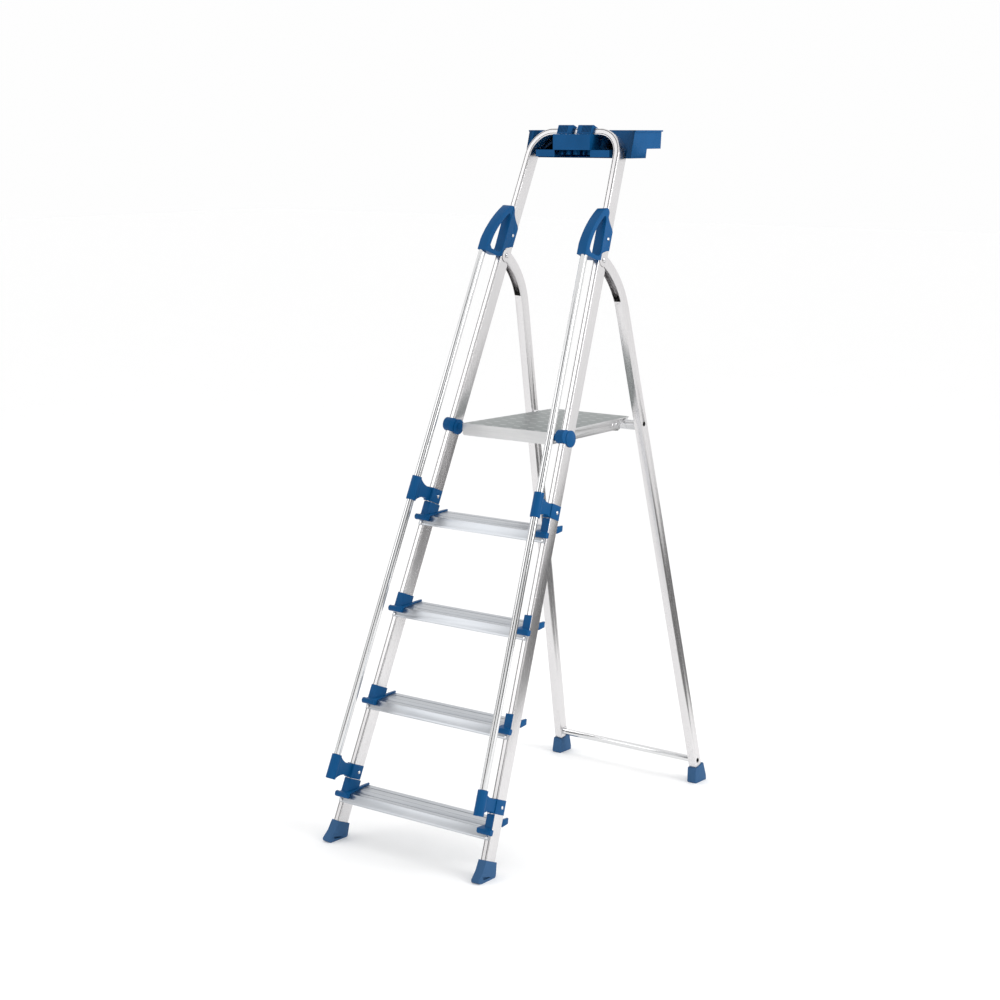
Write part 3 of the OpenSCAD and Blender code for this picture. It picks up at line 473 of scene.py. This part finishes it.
def makeClipSlotShades(side, body):
    bm = bmesh.new()
    count = int((clipRibs["to"] - clipRibs["from"]) / clipRibs["pitch"])
    height = clipRibs["low"] + clipRibs["high"]
    size = Matrix.Diagonal((clipRibs["width"], 2 * clipRibs["proud"], height, 1))
    for k in range(count + 1):
        where = Matrix.Translation((side * (clipRibs["from"] + k * clipRibs["pitch"]), clipRibs["front"],
                                    hoopS - clipRibs["low"] + height / 2))
        bmesh.ops.create_cube(bm, size=1.0, matrix=frontPlane @ where @ size)
    roundEdges(bm, list(bm.edges), clipRibs["edge"], 2)
    finishPiece("clipRibs" + ("Right" if side > 0 else "Left"), bm, "shade", body)


makeClipSlotShades(1, "clip_right")
makeClipSlotShades(-1, "clip_left")

# finger grips inside the handles
fingerGrip = {"count": 4, "radius": 0.0032, "halfWidth": 0.0095, "middle": -0.007, "edge": 0.0012,
              "start": (-0.0585, 0.040), "end": (-0.0405, 0.092)}      # depth, height up the guard's inside


def makeFingerGrip(side):
    bm = bmesh.new()
    foot = (hoopS - ladder["pivotDrop"] - ladder["handleBelow"]) / math.cos(taper)
    across = Matrix.Rotation(math.radians(90), 4, "Y")
    for k in range(fingerGrip["count"]):
        share = k / (fingerGrip["count"] - 1)
        v, up = [a + (b - a) * share for a, b in zip(fingerGrip["start"], fingerGrip["end"])]
        place = stileMatrix(side) @ Matrix.Translation((fingerGrip["middle"], v, foot + up))
        bmesh.ops.create_cone(bm, cap_ends=True, segments=20, radius1=fingerGrip["radius"],
                              radius2=fingerGrip["radius"], depth=2 * fingerGrip["halfWidth"],
                              matrix=place @ across)
    roundEdges(bm, edgesOver(bm, 1.0), fingerGrip["edge"], 3)
    finishPiece("fingerGrip" + ("Right" if side > 0 else "Left"), bm, "blue", "front_frame")


makeFingerGrip(1)
makeFingerGrip(-1)
print("ribs and finger grips made")

# floor, light and camera
studio = {
    "world": 0.99,
    "lamps": [      # name, power, size, place, target
        ("softbox", 16.0, (2.5, 2.5), (-2.6, -3.0, 3.0), (0, 0, 1.0)),
        ("side", 75.0, (1.5, 3.0), (4.0, 0.6, 2.6), (0, 0, 1.0)),
    ],
    "cards": [      # name, centre, width, height, facing, shade
        ("darkStrip", (0.05, -3.6, 2.8), 1.45, 5.4, (0, 0, 1.8), 0.005),
        ("greyLeft", (-3.4, -1.6, 1.2), 0.9, 3.6, (0, 0, 1.0), 0.12),
        ("greyBehind", (1.9, 2.6, 0.22), 3.4, 0.50, (0, 0, 0.22), 0.10),
        ("greyFloor", (1.7, 2.15, 0.003), 2.9, 1.9, (1.7, 2.15, 5.0), 0.16),
        ("greyRight", (3.6, -0.9, 1.6), 2.4, 3.4, (0, 0, 1.4), 0.16),
    ],
    "floor": {"size": 30.0, "dark": (0.93, 0.93, 0.93, 1), "light": (0.95, 0.95, 0.95, 1), "cloud": 2.0,
              "rough": 0.8, "glow": 0.06},
    "camera": {"azimuth": 37.72, "drop": 9.746, "lens": 74.86, "place": (3.3721, -4.4777, 1.9016),
               "shift": (0.0014, -0.020)},
}


def makeGrid(name, size, matrix, material):      # a flat square that isn't part of the ladder
    bm = bmesh.new()
    bmesh.ops.create_grid(bm, x_segments=1, y_segments=1, size=size, matrix=matrix)
    mesh = bpy.data.meshes.new(name)
    bm.to_mesh(mesh)
    bm.free()
    mesh.materials.append(material)
    grid = bpy.data.objects.new(name, mesh)
    bpy.context.scene.collection.objects.link(grid)
    return grid


def makeFloor(look):
    shader = Shader("paleFloor")
    shade = shader.mixColour(shader.noise(shader.place(), look["cloud"]), look["dark"], look["light"])
    pale = shader.finish(shade, look["rough"], Emission_Color=(1, 1, 1, 1), Emission_Strength=look["glow"])
    floor = makeGrid("floor", look["size"], Matrix(), pale)
    floor.location = (0, 0, cadBounds[0][2])


def towards(place, target, axis):
    return (Vector(target) - Vector(place)).to_track_quat(axis, "Y")


def makeLamp(name, power, size, place, target):
    lamp = bpy.data.lights.new(name, "AREA")
    lamp.energy = power
    lamp.shape = "RECTANGLE"
    lamp.size, lamp.size_y = size
    holder = bpy.data.objects.new(name, lamp)
    holder.location = place
    holder.rotation_euler = towards(place, target, "-Z").to_euler()
    bpy.context.scene.collection.objects.link(holder)


def makeCard(name, centre, width, height, target, shade):      # shapes the reflections only
    turned = towards(centre, target, "Z").to_matrix().to_4x4()
    place = Matrix.Translation(centre) @ turned @ Matrix.Diagonal((width, height, 1, 1))
    matt = Shader(name).finish((shade, shade, shade, 1), 0.9, Specular_IOR_Level=0.0)
    card = makeGrid(name, 0.5, place, matt)
    card.visible_camera = card.visible_diffuse = card.visible_shadow = False


def makeWorld(strength):
    world = bpy.data.worlds.new("studio")
    world.use_nodes = True
    background = world.node_tree.nodes["Background"]
    background.inputs[0].default_value = (1, 1, 1, 1)
    background.inputs[1].default_value = strength
    bpy.context.scene.world = world


def makeCamera(view):
    camera = bpy.data.cameras.new("camera")
    camera.lens = view["lens"]
    camera.sensor_width = 36.0
    camera.shift_x, camera.shift_y = view["shift"]
    camera.clip_end = 100.0
    holder = bpy.data.objects.new("camera", camera)
    holder.location = view["place"]
    holder.rotation_euler = (math.radians(90 - view["drop"]), 0, math.radians(view["azimuth"]))
    bpy.context.scene.collection.objects.link(holder)
    bpy.context.scene.camera = holder


makeFloor(studio["floor"])
makeWorld(studio["world"])
for lamp in studio["lamps"]:
    makeLamp(*lamp)
for card in studio["cards"]:
    makeCard(*card)
makeCamera(studio["camera"])
bpy.context.scene.view_settings.view_transform = "Standard"
print("studio ready")
